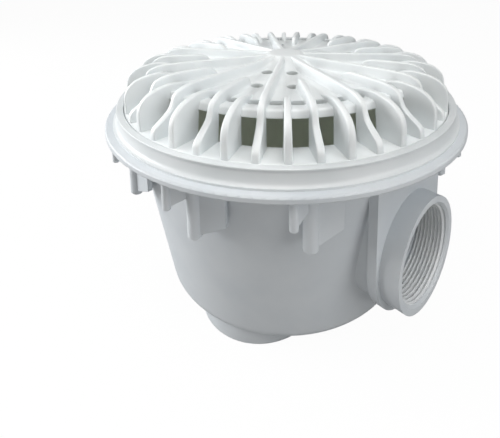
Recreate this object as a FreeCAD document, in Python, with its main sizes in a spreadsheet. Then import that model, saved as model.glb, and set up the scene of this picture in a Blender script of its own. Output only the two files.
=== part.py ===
import FreeCAD, Part
import os
import re
import Sketcher

# Main drain for a concrete pool: a tapered pot with a flange, a threaded side
# port and a threaded bottom port, a frame ring screwed down on the flange, and
# a domed anti-entrapment cover with radial ribs that sits in the frame ring.
#
# Frame: +Z up, origin under the middle of the pot at the face of the bottom
# port, side port along +X. Lengths are millimetres, angles degrees.

doc = FreeCAD.newDocument("PoolMainDrain")
sheet = doc.addObject("Spreadsheet::Sheet", "Sizes")

SIZES = [
    # pot
    ("rim_height", 124.5, "face of the bottom port to the top of the flange"),
    ("flange_radius", 124.0, "outside of the flange"),
    ("flange_thick", 4.0, "flange"),
    ("flange_round", 1.0, "rounding of the flange's outer edges"),
    ("flange_width", 18.0, "flange outside the wall"),
    ("wall_taper", 21.4, "wall at the floor inside the wall at the flange"),
    ("wall_thick", 4.0, "wall of the pot"),
    ("floor_thick", 4.0, "floor of the pot"),
    ("heel_round", 8.0, "outer rounding between wall and floor"),
    # ports, both with the same pipe thread
    ("thread_radius", 28.6, "wall of the threaded bore"),
    ("thread_length", 20.0, "depth of the threaded bore"),
    ("mouth_chamfer", 1.5, "lead-in at the mouth of each bore"),
    ("stop_radius", 25.5, "plain bore behind the thread"),
    ("stop_length", 5.4, "length of the shoulder behind the thread"),
    ("collar_radius", 33.75, "collar round each bore"),
    ("port_height", 59.9, "axis of the side port above the bottom port's face"),
    ("port_lead", 7.4, "mouth of the side port outside the wall at the flange"),
    ("collar_length", 11.6, "side collar in front of its plate"),
    ("plate_half", 37.0, "half width of the U shaped plate"),
    ("plate_thick", 5.8, "U shaped plate behind the collar"),
    ("neck_half", 35.0, "half width of the neck behind the plate"),
    ("port_drop", 7.8, "bottom port's face below the pot's floor"),
    ("outlet_radius", 40.0, "boss of the bottom port"),
    ("outlet_offset", 43.0, "axis of the bottom port from the pot's axis"),
    ("outlet_angle", 69.75, "bottom port, turned back from the side port"),
    # bosses under the flange
    ("boss_places", 11, "positions round the flange, one left free at the port"),
    ("boss_start", 25.6, "angle of the first long boss"),
    ("boss_inset", 15.4, "long bosses and frame screws inside the flange's edge"),
    ("boss_radius", 4.0, "long boss"),
    ("boss_length", 35.5, "long boss below the flange"),
    ("boss_tip", 1.4, "chamfer at the tip of the long boss"),
    ("web_thick", 2.4, "web between long boss and wall"),
    ("gusset_turn", 103.0, "gusset, turned from the boss's own radius"),
    ("gusset_length", 18.0, "gusset from the boss's axis to its free edge"),
    ("gusset_thick", 3.0, "gusset"),
    ("gusset_rise", 9.0, "rise of the gusset's lower edge towards its free edge"),
    ("short_lead", 4.7, "angle from the short boss to the long one"),
    ("short_inset", 5.3, "short bosses inside the flange's edge"),
    ("short_radius", 2.3, "short boss"),
    ("short_length", 16.5, "short boss below the flange"),
    ("short_web", 2.4, "web from the short boss to the long one"),
    ("short_turn", 139.6, "that web, turned from the short boss's own radius"),
    ("short_reach", 13.7, "axis of the short boss to the axis of the long one"),
    ("short_web_rise", 6.0, "rise of the web's lower edge towards the long boss"),
    # gasket in the flange
    ("gasket_inset", 8.2, "middle of the gasket inside the flange's edge"),
    ("gasket_width", 3.2, "gasket"),
    ("gasket_height", 1.8, "gasket, squeezed flush with the flange"),
    ("gasket_play", 0.1, "groove wider than the gasket, each side"),
    # frame ring
    ("ring_inset", 4.9, "frame ring's foot inside the flange's edge"),
    ("ring_toe", 1.2, "height of the foot's edge"),
    ("lip_inset", 7.1, "raised lip inside the flange's edge"),
    ("lip_thick", 4.5, "raised lip"),
    ("lip_foot", 4.2, "height at which the skirt meets the lip"),
    ("lip_height", 9.8, "top of the lip above the flange"),
    ("lip_round", 0.9, "rounding of the lip's top"),
    ("shelf_height", 3.0, "shelf that carries the cover"),
    ("cover_play", 0.4, "gap between the cover and the lip"),
    # frame screws, M5 countersunk
    ("screw_radius", 2.5, "frame screw"),
    ("screw_length", 25.0, "frame screw with its head"),
    ("screw_head", 4.3, "radius of the countersunk head"),
    ("screw_cone", 2.2, "height of the countersunk head"),
    ("screw_play", 0.08, "clearance round each screw, each side"),
    ("screw_end", 2.0, "hole deeper than the screw"),
    # cover
    ("cover_thick", 3.0, "plate, ledge and walls of the cover"),
    ("ledge_rise", 9.5, "top of the ledge above the flange"),
    ("ledge_width", 18.5, "width of the ledge"),
    ("plate_rise", 31.0, "top of the dome's plate above the flange"),
    ("plate_inset", 23.5, "dome's plate inside the cover's edge"),
    ("skirt_height", 8.5, "rim skirt of the plate, its top to its lower edge"),
    ("skirt_thick", 2.0, "rim skirt of the plate"),
    ("hub_rise", 38.0, "top of the hub above the flange"),
    ("hub_radius", 12.0, "flat top of the hub"),
    ("hub_foot", 25.0, "foot of the hub on the plate"),
    # ribs
    ("sector_count", 11, "sectors of one long, one middle and two short ribs"),
    ("rib_start", 3.4, "angle of the first short rib"),
    ("rib_thick", 3.4, "thickness of every rib"),
    ("rib_rise", 37.5, "top of the long and middle ribs above the flange"),
    ("short_rise", 37.0, "top of the short ribs above the flange"),
    ("short_round", 17.0, "outer rounding of the short ribs"),
    ("short_lap", 2.5, "short ribs over the plate's rim"),
    ("leg_top_inset", 16.5, "long rib under its top, inside the cover's edge"),
    ("leg_bend_inset", 12.0, "long rib at its bend, inside the cover's edge"),
    ("bend_rise", 25.5, "height of that bend above the flange"),
    ("leg_foot", 4.0, "upright foot of a long rib above the ledge"),
    ("hump_radius", 59.0, "inner end of the middle ribs"),
    ("hump_round", 5.0, "rounding of that inner end"),
    # openings of the cover
    ("slot_inset", 5.1, "middle of the slots inside the plate's edge"),
    ("slot_depth", 6.2, "slot along the radius"),
    ("slot_width", 8.0, "slot across the radius"),
    ("inner_row", 29.0, "circle of the inner holes"),
    ("inner_hole", 3.75, "radius of the inner holes"),
    ("outer_row", 58.0, "circle of the outer holes"),
    ("outer_count", 16, "outer holes"),
    ("outer_start", 3.4, "angle of the first outer hole"),
    ("outer_hole", 4.0, "radius of the outer holes"),
    # cover screws, M4 with pan heads, in brass inserts
    ("latch_inset", 5.0, "cover screws inside the cover's edge"),
    ("latch_radius", 2.0, "cover screw"),
    ("latch_head", 3.9, "radius of the pan head"),
    ("latch_rise", 2.6, "height of the pan head"),
    ("latch_end", 0.6, "screw's tip above the flange"),
    ("latch_boss", 4.6, "boss under the ledge"),
    ("insert_radius", 3.0, "brass insert"),
    ("insert_length", 2.6, "brass insert"),
]

for row, (name, number, note) in enumerate(SIZES, start=1):
    sheet.set("A%d" % row, name)
    sheet.set("B%d" % row, str(number))
    sheet.set("C%d" % row, note)
    sheet.setAlias("B%d" % row, name)
doc.recompute()
VALUE = {name: number for name, number, note in SIZES}

# Radii that follow from the sheet: each piece keeps its distance from the one that carries it.
DERIVED = {
    "wall_radius": "flange_radius - flange_width",
    "foot_radius": "wall_radius - wall_taper",
    "port_reach": "wall_radius + port_lead",
    "boss_circle": "flange_radius - boss_inset",
    "short_circle": "flange_radius - short_inset",
    "gasket_radius": "flange_radius - gasket_inset",
    "ring_bore": "wall_radius - wall_thick",
    "ring_foot": "flange_radius - ring_inset",
    "ring_lip": "flange_radius - lip_inset",
    "lip_bore": "ring_lip - lip_thick",
    "cover_radius": "lip_bore - cover_play",
    "plate_radius": "cover_radius - plate_inset",
    "short_inner": "plate_radius - short_lap",
    "leg_top": "cover_radius - leg_top_inset",
    "leg_bend": "cover_radius - leg_bend_inset",
    "slot_middle": "plate_radius - slot_inset",
    "latch_circle": "cover_radius - latch_inset",
}

FUNCTIONS = ("sin", "cos", "tan", "sqrt")
WORD = re.compile(r"[a-z][a-z_]*")

# Heights and angles that several pieces share.
UNDER = "(rim_height - flange_thick)"
FLOOR = "(port_drop + floor_thick)"
SHELF = "(rim_height + shelf_height)"
LEDGE = "(rim_height + ledge_rise)"
PLATE = "(rim_height + plate_rise)"
SKIRT = "(rim_height + plate_rise - skirt_height)"
LEDGE_BORE = "(cover_radius - ledge_width)"
PITCH = "(360 / (4 * sector_count))"
LONG_RIB = "(rib_start + %s)" % PITCH
MIDDLE_RIB = "(rib_start + 3 * %s)" % PITCH
LATCH = "(rib_start + 3.5 * %s)" % PITCH
PLATE_FRONT = "(port_reach - collar_length)"
PLATE_BACK = "(port_reach - collar_length - plate_thick)"
PORT_END = "(port_reach - thread_length - stop_length)"
OUTLET_X = "(outlet_offset * cos(outlet_angle))"
OUTLET_Y = "(-outlet_offset * sin(outlet_angle))"


def cell(found):
    """What one name in a formula stands for: a function, a derived radius or a cell."""
    name = found.group(0)
    if name in FUNCTIONS:
        return name
    if name in DERIVED:
        return "(" + bound(DERIVED[name]) + ")"
    return "Sizes." + name


def bound(text):
    """Point every name in a formula at its cell of the sheet."""
    return WORD.sub(cell, text)


def value(name):
    """The number behind a cell or a derived radius."""
    if name in VALUE:
        return VALUE[name]
    total, sign = 0.0, 1.0
    for token in DERIVED[name].split():
        if token in ("+", "-"):
            sign = 1.0 if token == "+" else -1.0
        else:
            total += sign * value(token)
    return total


def new_body(label):
    body = doc.addObject("PartDesign::Body", label)
    body.Label = label
    return body


def origin_item(body, role):
    for item in body.Origin.OriginFeatures:
        if item.Role == role:
            return item
    raise ValueError(role)


def new_sketch(body, name, role, shift=("0", "0", "0"), turn=None):
    """A sketch on an origin plane, shifted in that plane's own axes and turned about +Z."""
    sketch = body.newObject("Sketcher::SketchObject", name)
    sketch.AttachmentSupport = (origin_item(body, role), [""])
    sketch.MapMode = "FlatFace"
    axis = FreeCAD.Vector(0, 0, 1) if role == "XY_Plane" else FreeCAD.Vector(0, 1, 0)
    start = FreeCAD.Rotation(axis, 1.0 if turn else 0.0)
    sketch.AttachmentOffset = FreeCAD.Placement(FreeCAD.Vector(0, 0, 0), start)
    for letter, text in zip("xyz", shift):
        if text != "0":
            sketch.setExpression("AttachmentOffset.Base." + letter, bound(text))
    if turn:
        sketch.setExpression("AttachmentOffset.Rotation.Angle", bound(turn))
    return sketch


def tie(sketch, kind, first, second, start, text):
    """One length of a sketch, bound to a formula."""
    number = sketch.addConstraint(Sketcher.Constraint(kind, *first, *second, start))
    sketch.setExpression("Constraints[%d]" % number, bound(text))


def outline(sketch, points):
    """A closed outline of straight sides whose corners are formulas of the sizes."""
    count = len(points)
    spots = []
    for x_text, y_text in points:
        place = FreeCAD.Vector(20.0 + 3.0 * len(spots), 10.0 + 7.0 * (len(spots) % 3), 0)
        spots.append(place)
    lines = []
    for index in range(count):
        line = Part.LineSegment(spots[index], spots[(index + 1) % count])
        lines.append(sketch.addGeometry(line, False))
    for index in range(count):
        following = lines[(index + 1) % count]
        sketch.addConstraint(Sketcher.Constraint("Coincident", lines[index], 2, following, 1))
    for index, (x_text, y_text) in enumerate(points):
        corner = (lines[index], 1)
        if x_text == "0":
            sketch.addConstraint(Sketcher.Constraint("PointOnObject", *corner, -2))
        else:
            tie(sketch, "DistanceX", (-1, 1), corner, spots[index].x, x_text)
        if y_text == "0":
            sketch.addConstraint(Sketcher.Constraint("PointOnObject", *corner, -1))
        else:
            tie(sketch, "DistanceY", (-1, 1), corner, spots[index].y, y_text)


def ring(sketch, x_text, y_text, radius_text):
    """A circle in a sketch, centre and radius from formulas."""
    circle = Part.Circle(FreeCAD.Vector(5, 7, 0), FreeCAD.Vector(0, 0, 1), 3.0)
    number = sketch.addGeometry(circle, False)
    for kind, line, text in (("DistanceX", -2, x_text), ("DistanceY", -1, y_text)):
        if text == "0":
            sketch.addConstraint(Sketcher.Constraint("PointOnObject", number, 3, line))
        else:
            tie(sketch, kind, (-1, 1), (number, 3), 5.0 if kind == "DistanceX" else 7.0, text)
    radius = sketch.addConstraint(Sketcher.Constraint("Radius", number, 3.0))
    sketch.setExpression("Constraints[%d]" % radius, bound(radius_text))


def arc(centre_x, centre_y, radius, start, stop, steps):
    """Corners along a round, as formulas, from angle start to angle stop."""
    corners = []
    for step in range(steps + 1):
        angle = start + (stop - start) * step / steps
        corners.append((
            "%s + %s * cos(%g)" % (centre_x, radius, angle),
            "%s + %s * sin(%g)" % (centre_y, radius, angle),
        ))
    return corners


def pad(body, name, sketch, length, symmetric=False, reverse=False):
    feature = body.newObject("PartDesign::Pad", name)
    feature.Profile = sketch
    feature.SideType = "Symmetric" if symmetric else "One side"
    feature.Reversed = reverse
    feature.setExpression("Length", bound(length))
    return feature


def pocket(body, name, sketch, length, reverse=False):
    feature = body.newObject("PartDesign::Pocket", name)
    feature.Profile = sketch
    feature.Reversed = reverse
    feature.setExpression("Length", bound(length))
    return feature


def turned(body, name, sketch, cut=False):
    feature = body.newObject("PartDesign::Groove" if cut else "PartDesign::Revolution", name)
    feature.Profile = sketch
    feature.ReferenceAxis = (sketch, ["V_Axis"])
    feature.Angle = 360.0
    return feature


def round_pattern(body, name, features, count, angle="360"):
    """Copies round the pot's axis."""
    pattern = body.newObject("PartDesign::PolarPattern", name)
    pattern.Originals = features
    pattern.Axis = (origin_item(body, "Z_Axis"), [""])
    pattern.setExpression("Angle", bound(angle))
    pattern.setExpression("Occurrences", bound(count))
    body.Tip = pattern
    return pattern


def rim_edges(feature, spots):
    """Names of the full circles of a feature with these radii, heights and places."""
    names = []
    for number, edge in enumerate(feature.Shape.Edges, start=1):
        if not isinstance(edge.Curve, Part.Circle):
            continue
        for radius, centre in spots:
            close = (edge.Curve.Center - FreeCAD.Vector(*centre)).Length < 0.01
            if close and abs(edge.Curve.Radius - radius) < 0.01:
                names.append("Edge%d" % number)
    return sorted(set(names))


def dressed(body, kind, name, base, spots, size):
    """A fillet or chamfer on circles that are found by their place."""
    doc.recompute()
    names = rim_edges(base, spots)
    if not names:
        raise ValueError("no edge for " + name)
    feature = body.newObject("PartDesign::" + kind, name)
    feature.Base = (base, names)
    feature.setExpression("Radius" if kind == "Fillet" else "Size", bound(size))
    return feature


def cut_counts(before, after):
    """Stops when a cut took nothing away."""
    doc.recompute()
    if after.Shape.Volume > before.Shape.Volume - 1.0:
        raise ValueError(after.Name + " cuts nothing")


def boss_pattern(body, name, features):
    """One copy per boss position, with the position at the side port left free."""
    sweep = "360 / boss_places * (boss_places - 2)"
    return round_pattern(body, name, features, "boss_places - 1", sweep)


# Pot
sump = new_body("sump")
blank_sketch = new_sketch(sump, "PotBlank", "XZ_Plane")
outline(blank_sketch, [
    ("0", "port_drop"),
    ("foot_radius", "port_drop"),
    ("wall_radius", UNDER),
    ("flange_radius", UNDER),
    ("flange_radius", "rim_height"),
    ("0", "rim_height"),
])
blank = turned(sump, "Blank", blank_sketch)
heel = dressed(
    sump, "Fillet", "Heel", blank, [(value("foot_radius"), (0, 0, value("port_drop")))], "heel_round"
)
under_value = value("rim_height") - value("flange_thick")
flange_spots = [
    (value("flange_radius"), (0, 0, value("rim_height"))),
    (value("flange_radius"), (0, 0, under_value)),
]
flange_edge = dressed(sump, "Fillet", "FlangeEdge", heel, flange_spots, "flange_round")

# Saddle of the side port: a neck, a U shaped plate up to the flange and a collar
for part_name, half, start, length in (
    ("Neck", "neck_half", "0", PLATE_BACK),
    ("Saddle", "plate_half", PLATE_BACK, "plate_thick"),
):
    low = new_sketch(sump, part_name + "Round", "YZ_Plane", ("0", "0", start))
    ring(low, "0", "port_height", half)
    pad(sump, part_name + "Low", low, length)
    high = new_sketch(sump, part_name + "Square", "YZ_Plane", ("0", "0", start))
    outline(high, [
        ("-" + half, "port_height"),
        (half, "port_height"),
        (half, UNDER),
        ("-" + half, UNDER),
    ])
    pad(sump, part_name + "High", high, length)
collar_sketch = new_sketch(sump, "CollarRound", "YZ_Plane", ("0", "0", PLATE_BACK))
ring(collar_sketch, "0", "port_height", "collar_radius")
pad(sump, "Collar", collar_sketch, "port_reach - %s" % PLATE_BACK)

# Boss of the bottom port
outlet_sketch = new_sketch(sump, "OutletRound", "XY_Plane")
ring(outlet_sketch, OUTLET_X, OUTLET_Y, "outlet_radius")
pad(sump, "Outlet", outlet_sketch, FLOOR)

# Long bosses with a web and a gusset to the wall, short bosses beside them
BOSS_X = "(boss_circle * cos(boss_start))"
BOSS_Z = "(-boss_circle * sin(boss_start))"
boss_sketch = new_sketch(sump, "BossProfile", "XZ_Plane", (BOSS_X, "0", BOSS_Z))
outline(boss_sketch, [
    ("0", UNDER + " + flange_thick / 2"),
    ("boss_radius", UNDER + " + flange_thick / 2"),
    ("boss_radius", UNDER + " - boss_length + boss_tip"),
    ("boss_radius - boss_tip", UNDER + " - boss_length"),
    ("0", UNDER + " - boss_length"),
])
boss = turned(sump, "Boss", boss_sketch)
web_sketch = new_sketch(sump, "WebProfile", "XZ_Plane", turn="boss_start")
outline(web_sketch, [
    ("foot_radius", UNDER),
    ("boss_circle", UNDER),
    ("boss_circle", UNDER + " - boss_length + boss_tip"),
    ("foot_radius", UNDER + " - boss_length + boss_tip"),
])
web = pad(sump, "Web", web_sketch, "web_thick", symmetric=True)
gusset_sketch = new_sketch(
    sump, "GussetProfile", "XZ_Plane", (BOSS_X, "0", BOSS_Z), "boss_start + gusset_turn"
)
outline(gusset_sketch, [
    ("0", UNDER),
    ("gusset_length", UNDER),
    ("gusset_length", UNDER + " - boss_length + gusset_rise"),
    ("0", UNDER + " - boss_length + boss_tip"),
])
gusset = pad(sump, "Gusset", gusset_sketch, "gusset_thick", symmetric=True)
SHORT_AT = "(boss_start - short_lead)"
short_sketch = new_sketch(
    sump, "ShortProfile", "XZ_Plane",
    ("short_circle * cos(%s)" % SHORT_AT, "0", "-short_circle * sin(%s)" % SHORT_AT),
)
outline(short_sketch, [
    ("0", UNDER + " + flange_thick / 2"),
    ("short_radius", UNDER + " + flange_thick / 2"),
    ("short_radius", UNDER + " - short_length + boss_tip / 2"),
    ("short_radius - boss_tip / 2", UNDER + " - short_length"),
    ("0", UNDER + " - short_length"),
])
short_boss = turned(sump, "ShortBoss", short_sketch)
short_web_sketch = new_sketch(
    sump, "ShortWebProfile", "XZ_Plane",
    ("short_circle * cos(%s)" % SHORT_AT, "0", "-short_circle * sin(%s)" % SHORT_AT),
    SHORT_AT + " + short_turn",
)
outline(short_web_sketch, [
    ("0", UNDER),
    ("short_reach", UNDER),
    ("short_reach", UNDER + " - short_length + short_web_rise"),
    ("0", UNDER + " - short_length + boss_tip"),
])
short_web = pad(sump, "ShortWeb", short_web_sketch, "short_web", symmetric=True)
bosses = boss_pattern(sump, "Bosses", [boss, web, gusset, short_boss, short_web])

# Cavity, then the inner collars that stand in it
cavity_sketch = new_sketch(sump, "CavityProfile", "XZ_Plane")
outline(cavity_sketch, [
    ("0", FLOOR),
    ("foot_radius - wall_thick", FLOOR),
    ("wall_radius - wall_thick", UNDER),
    ("wall_radius - wall_thick", "rim_height"),
    ("0", "rim_height"),
])
cavity = turned(sump, "Cavity", cavity_sketch, cut=True)
cut_counts(bosses, cavity)
inner_sketch = new_sketch(sump, "InnerCollarRound", "YZ_Plane", ("0", "0", PORT_END))
ring(inner_sketch, "0", "port_height", "collar_radius")
pad(sump, "InnerCollar", inner_sketch, "%s - %s" % (PLATE_BACK, PORT_END))
tower_sketch = new_sketch(sump, "TowerRound", "XY_Plane")
ring(tower_sketch, OUTLET_X, OUTLET_Y, "collar_radius")
tower = pad(sump, "Tower", tower_sketch, "thread_length + stop_length")

# Threaded bores with a shoulder behind the thread
port_sketch = new_sketch(sump, "PortThread", "YZ_Plane", ("0", "0", "port_reach"))
ring(port_sketch, "0", "port_height", "thread_radius")
port_bore = pocket(sump, "PortBore", port_sketch, "thread_length")
cut_counts(tower, port_bore)
stop_sketch = new_sketch(sump, "PortStop", "YZ_Plane", ("0", "0", "port_reach - thread_length"))
ring(stop_sketch, "0", "port_height", "stop_radius")
port_through = pocket(sump, "PortThrough", stop_sketch, "port_reach - thread_length - outlet_offset")
cut_counts(port_bore, port_through)
drain_sketch = new_sketch(sump, "OutletThread", "XY_Plane")
ring(drain_sketch, OUTLET_X, OUTLET_Y, "thread_radius")
drain_bore = pocket(sump, "OutletBore", drain_sketch, "thread_length", reverse=True)
cut_counts(port_through, drain_bore)
drain_stop = new_sketch(sump, "OutletStop", "XY_Plane")
ring(drain_stop, OUTLET_X, OUTLET_Y, "stop_radius")
drain_through = pocket(sump, "OutletThrough", drain_stop, "thread_length + 2 * stop_length", reverse=True)
cut_counts(drain_bore, drain_through)

# Groove of the gasket and pilot holes of the frame screws
groove_sketch = new_sketch(sump, "GasketGroove", "XZ_Plane")
outline(groove_sketch, [
    ("gasket_radius - gasket_width / 2 - gasket_play", "rim_height - gasket_height"),
    ("gasket_radius + gasket_width / 2 + gasket_play", "rim_height - gasket_height"),
    ("gasket_radius + gasket_width / 2 + gasket_play", "rim_height"),
    ("gasket_radius - gasket_width / 2 - gasket_play", "rim_height"),
])
gasket_groove = turned(sump, "Groove", groove_sketch, cut=True)
cut_counts(drain_through, gasket_groove)
pilot_sketch = new_sketch(sump, "PilotRound", "XY_Plane", ("0", "0", "rim_height"))
ring(pilot_sketch, BOSS_X, "(boss_circle * sin(boss_start))", "screw_radius + screw_play")
pilot = pocket(sump, "Pilot", pilot_sketch, "screw_length - shelf_height + screw_end")
pilots = boss_pattern(sump, "Pilots", [pilot])
cut_counts(gasket_groove, pilots)
port_spot = (value("thread_radius"), (value("port_reach"), 0, value("port_height")))
away = FreeCAD.Rotation(FreeCAD.Vector(0, 0, 1), -value("outlet_angle"))
outlet_at = away.multVec(FreeCAD.Vector(value("outlet_offset"), 0, 0))
drain_spot = (value("thread_radius"), tuple(outlet_at))
mouths = dressed(sump, "Chamfer", "Mouths", pilots, [port_spot, drain_spot], "mouth_chamfer")
sump.Tip = mouths

# Gasket
flange_gasket = new_body("flange_gasket")
gasket_sketch = new_sketch(flange_gasket, "GasketProfile", "XZ_Plane")
outline(gasket_sketch, [
    ("gasket_radius - gasket_width / 2", "rim_height - gasket_height"),
    ("gasket_radius + gasket_width / 2", "rim_height - gasket_height"),
    ("gasket_radius + gasket_width / 2", "rim_height"),
    ("gasket_radius - gasket_width / 2", "rim_height"),
])
turned(flange_gasket, "Seal", gasket_sketch)

# Frame ring
frame_ring = new_body("frame_ring")
ring_sketch = new_sketch(frame_ring, "RingProfile", "XZ_Plane")
outline(ring_sketch, [
    ("ring_bore", "rim_height"),
    ("ring_foot", "rim_height"),
    ("ring_foot", "rim_height + ring_toe"),
    ("ring_lip + (ring_foot - ring_lip) / 4", "rim_height + (ring_toe + lip_foot) / 2"),
    ("ring_lip", "rim_height + lip_foot"),
    ("ring_lip", "rim_height + lip_height"),
    ("lip_bore", "rim_height + lip_height"),
    ("lip_bore", SHELF),
    ("ring_bore", SHELF),
])
ring_body = turned(frame_ring, "Ring", ring_sketch)
lip_top = value("rim_height") + value("lip_height")
lip_spots = [
    (value("ring_lip"), (0, 0, lip_top)),
    (value("lip_bore"), (0, 0, lip_top)),
]
lip = dressed(frame_ring, "Fillet", "LipEdges", ring_body, lip_spots, "lip_round")
sink_sketch = new_sketch(frame_ring, "SinkProfile", "XZ_Plane", (BOSS_X, "0", BOSS_Z))
outline(sink_sketch, [
    ("0", "rim_height"),
    ("screw_radius + screw_play", "rim_height"),
    ("screw_radius + screw_play", SHELF + " - screw_cone"),
    ("screw_head + screw_play", SHELF),
    ("0", SHELF),
])
sink = turned(frame_ring, "Sink", sink_sketch, cut=True)
sinks = boss_pattern(frame_ring, "Sinks", [sink])
cut_counts(lip, sinks)
LATCH_X = "(latch_circle * cos(%s))" % LATCH
LATCH_Y = "(latch_circle * sin(%s))" % LATCH
seat_sketch = new_sketch(frame_ring, "InsertSeat", "XY_Plane", ("0", "0", SHELF))
ring(seat_sketch, LATCH_X, LATCH_Y, "insert_radius")
seat = pocket(frame_ring, "Seat", seat_sketch, "insert_length")
seats = round_pattern(frame_ring, "Seats", [seat], "2")
cut_counts(sinks, seats)

# Cover: ledge, plate with its rim skirt and a hollow hub
cover = new_body("cover")
plate_sketch = new_sketch(cover, "PlateProfile", "XZ_Plane")
outline(plate_sketch, [
    ("0", "rim_height + hub_rise - cover_thick"),
    ("hub_radius - cover_thick / 3", "rim_height + hub_rise - cover_thick"),
    ("hub_foot - cover_thick / 3", PLATE + " - cover_thick"),
    ("plate_radius - skirt_thick", PLATE + " - cover_thick"),
    ("plate_radius - skirt_thick", SKIRT),
    ("plate_radius", SKIRT),
    ("plate_radius", PLATE),
    ("hub_foot", PLATE),
    ("hub_radius", "rim_height + hub_rise"),
    ("0", "rim_height + hub_rise"),
])
plate = turned(cover, "Plate", plate_sketch)

# Long and middle ribs bridge the windows on sloping legs
LEG = [
    ("cover_radius - 1", LEDGE + " - cover_thick / 2"),
    ("cover_radius - 1", LEDGE),
    ("cover_radius - 1.5", LEDGE + " + leg_foot"),
    ("(cover_radius - 1.5 + leg_bend) / 2", "rim_height + (ledge_rise + leg_foot + bend_rise) / 2"),
    ("leg_bend", "rim_height + bend_rise"),
    ("leg_top", "rim_height + rib_rise - 3.5"),
    ("leg_top - 1.6", "rim_height + rib_rise - 1"),
    ("leg_top - 5", "rim_height + rib_rise"),
]
STEM = [
    ("plate_radius - skirt_thick / 2", PLATE + " - cover_thick / 2"),
    ("plate_radius - skirt_thick / 2", SKIRT + " + 1"),
    (LEDGE_BORE + " + cover_thick / 3", LEDGE + " - cover_thick / 2"),
]
long_sketch = new_sketch(cover, "LongRibProfile", "XZ_Plane", turn=LONG_RIB)
outline(long_sketch, [
    ("hub_radius * 0.8", "rim_height + hub_rise - cover_thick / 2"),
    ("hub_foot - cover_thick / 3", PLATE + " - cover_thick / 2"),
] + STEM + LEG + [("hub_radius * 0.8", "rim_height + rib_rise")])
long_rib = pad(cover, "LongRib", long_sketch, "rib_thick", symmetric=True)
round_pattern(cover, "LongRibs", [long_rib], "sector_count")
ledge_sketch = new_sketch(cover, "LedgeProfile", "XZ_Plane")
outline(ledge_sketch, [
    (LEDGE_BORE, SHELF),
    (LEDGE_BORE + " + cover_thick", SHELF),
    (LEDGE_BORE + " + cover_thick", LEDGE + " - cover_thick"),
    ("cover_radius - cover_thick", LEDGE + " - cover_thick"),
    ("cover_radius - cover_thick", SHELF),
    ("cover_radius", SHELF),
    ("cover_radius", LEDGE),
    (LEDGE_BORE, LEDGE),
])
turned(cover, "Ledge", ledge_sketch)
middle_sketch = new_sketch(cover, "MiddleRibProfile", "XZ_Plane", turn=MIDDLE_RIB)
HUMP = arc("hump_radius + hump_round", "rim_height + rib_rise - hump_round", "hump_round", 90, 180, 3)
outline(middle_sketch, [
    ("hump_radius", PLATE + " - cover_thick / 2"),
] + STEM + LEG + HUMP)
middle_rib = pad(cover, "MiddleRib", middle_sketch, "rib_thick", symmetric=True)
round_pattern(cover, "MiddleRibs", [middle_rib], "sector_count")

# Short ribs start at the plate's rim and bulge out to the full radius
short_rib_sketch = new_sketch(cover, "ShortRibProfile", "XZ_Plane", turn="rib_start")
BULGE = arc(
    "cover_radius - short_round", "rim_height + short_rise - short_round", "short_round", 0, 90, 5
)
outline(short_rib_sketch, [
    ("short_inner", PLATE + " - cover_thick / 2"),
] + STEM + [
    ("cover_radius - 0.5", LEDGE + " - cover_thick / 2"),
    ("cover_radius - 0.5", LEDGE),
] + BULGE + [
    ("short_inner + 4", "rim_height + short_rise - 1.5"),
    ("short_inner", PLATE + " + 1.5"),
])
short_rib = pad(cover, "ShortRib", short_rib_sketch, "rib_thick", symmetric=True)
short_ribs = round_pattern(cover, "ShortRibs", [short_rib], "2 * sector_count")

# Slots between the ribs and two rows of round holes
slot_sketch = new_sketch(
    cover, "SlotShape", "XY_Plane", ("0", "0", PLATE), "rib_start + %s / 2" % PITCH
)
outline(slot_sketch, [
    ("slot_middle - slot_depth / 2", "-slot_width / 2"),
    ("slot_middle + slot_depth / 2", "-slot_width / 2"),
    ("slot_middle + slot_depth / 2", "slot_width / 2"),
    ("slot_middle - slot_depth / 2", "slot_width / 2"),
])
slot = pocket(cover, "Slot", slot_sketch, "cover_thick + 0.5")
slots = round_pattern(cover, "Slots", [slot], "4 * sector_count")
cut_counts(short_ribs, slots)
holes_before = slots
for part_name, circle, size, at, count in (
    ("InnerHole", "inner_row", "inner_hole", MIDDLE_RIB, "sector_count"),
    ("OuterHole", "outer_row", "outer_hole", "outer_start", "outer_count"),
):
    hole_sketch = new_sketch(cover, part_name + "Round", "XY_Plane", ("0", "0", PLATE))
    ring(hole_sketch, "%s * cos(%s)" % (circle, at), "%s * sin(%s)" % (circle, at), size)
    hole = pocket(cover, part_name, hole_sketch, "cover_thick + 0.5")
    holes = round_pattern(cover, part_name + "s", [hole], count)
    cut_counts(holes_before, holes)
    holes_before = holes

# Bosses under the ledge for the two cover screws
stud_sketch = new_sketch(cover, "StudRound", "XY_Plane", ("0", "0", SHELF))
ring(stud_sketch, LATCH_X, LATCH_Y, "latch_boss")
stud = pad(cover, "Stud", stud_sketch, "ledge_rise - shelf_height - cover_thick / 2")
studs = round_pattern(cover, "Studs", [stud], "2")
through_sketch = new_sketch(cover, "LatchHoleRound", "XY_Plane", ("0", "0", LEDGE))
ring(through_sketch, LATCH_X, LATCH_Y, "latch_radius + screw_play * 3")
through = pocket(cover, "LatchHole", through_sketch, "ledge_rise - shelf_height + 0.5")
throughs = round_pattern(cover, "LatchHoles", [through], "2")
cut_counts(studs, throughs)


def placed(body, circle, angle):
    """Puts a piece drawn on the pot's axis at its place on a circle."""
    body.setExpression("Placement.Base.x", bound("%s * cos(%s)" % (circle, angle)))
    body.setExpression("Placement.Base.y", bound("%s * sin(%s)" % (circle, angle)))


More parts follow.
